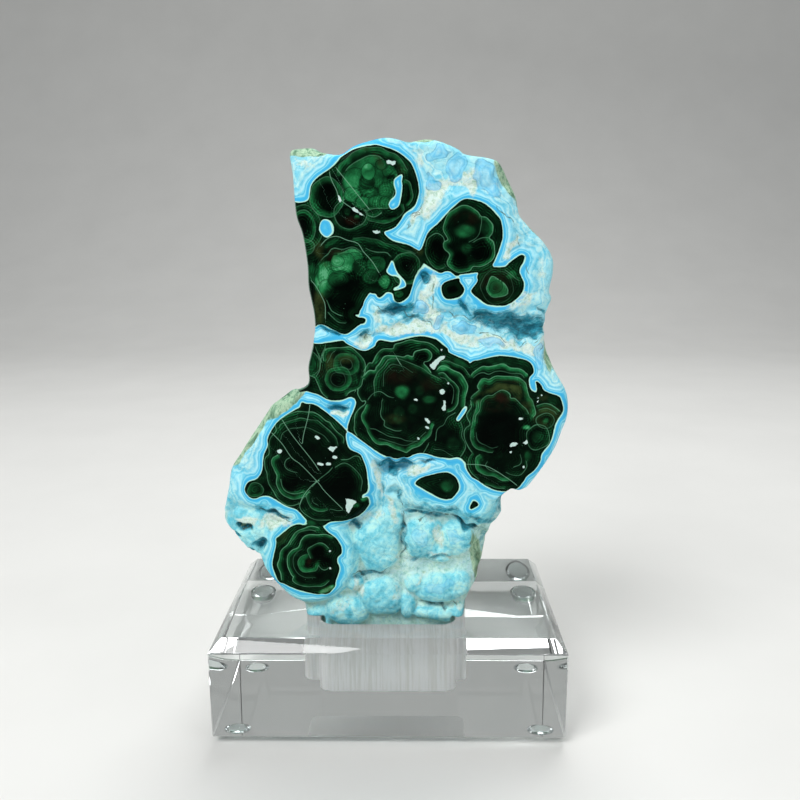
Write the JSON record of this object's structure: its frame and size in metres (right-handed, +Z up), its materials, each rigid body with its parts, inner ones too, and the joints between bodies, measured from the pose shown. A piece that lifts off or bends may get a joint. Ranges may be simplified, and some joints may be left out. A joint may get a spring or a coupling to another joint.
{
  "type": "polished malachite and chrysocolla specimen in a clear acrylic block",
  "caption": "Polished slice of banded green nodules in lumpy blue matrix, standing upright in the milled pocket of a clear chamfered display block on small domed feet.",
  "frame": {"origin": "on the table, under the centre of the block's footprint", "axes": "+X to the right of the polished face, +Y away from it, +Z up"},
  "size_m": [0.1, 0.062, 0.1661],
  "materials": {
    "specimen": "polished green and blue stone, natural rough sides and back",
    "acrylic": "clear, polished, with a frosted milled pocket",
    "bumper": "clear, slightly soft gloss"
  },
  "bodies": {
    "root": {"specimen": "specimen", "stand_block": "acrylic", "foot_front_left": "bumper", "foot_front_right": "bumper", "foot_back_left": "bumper", "foot_back_right": "bumper"}
  },
  "joints": []
}
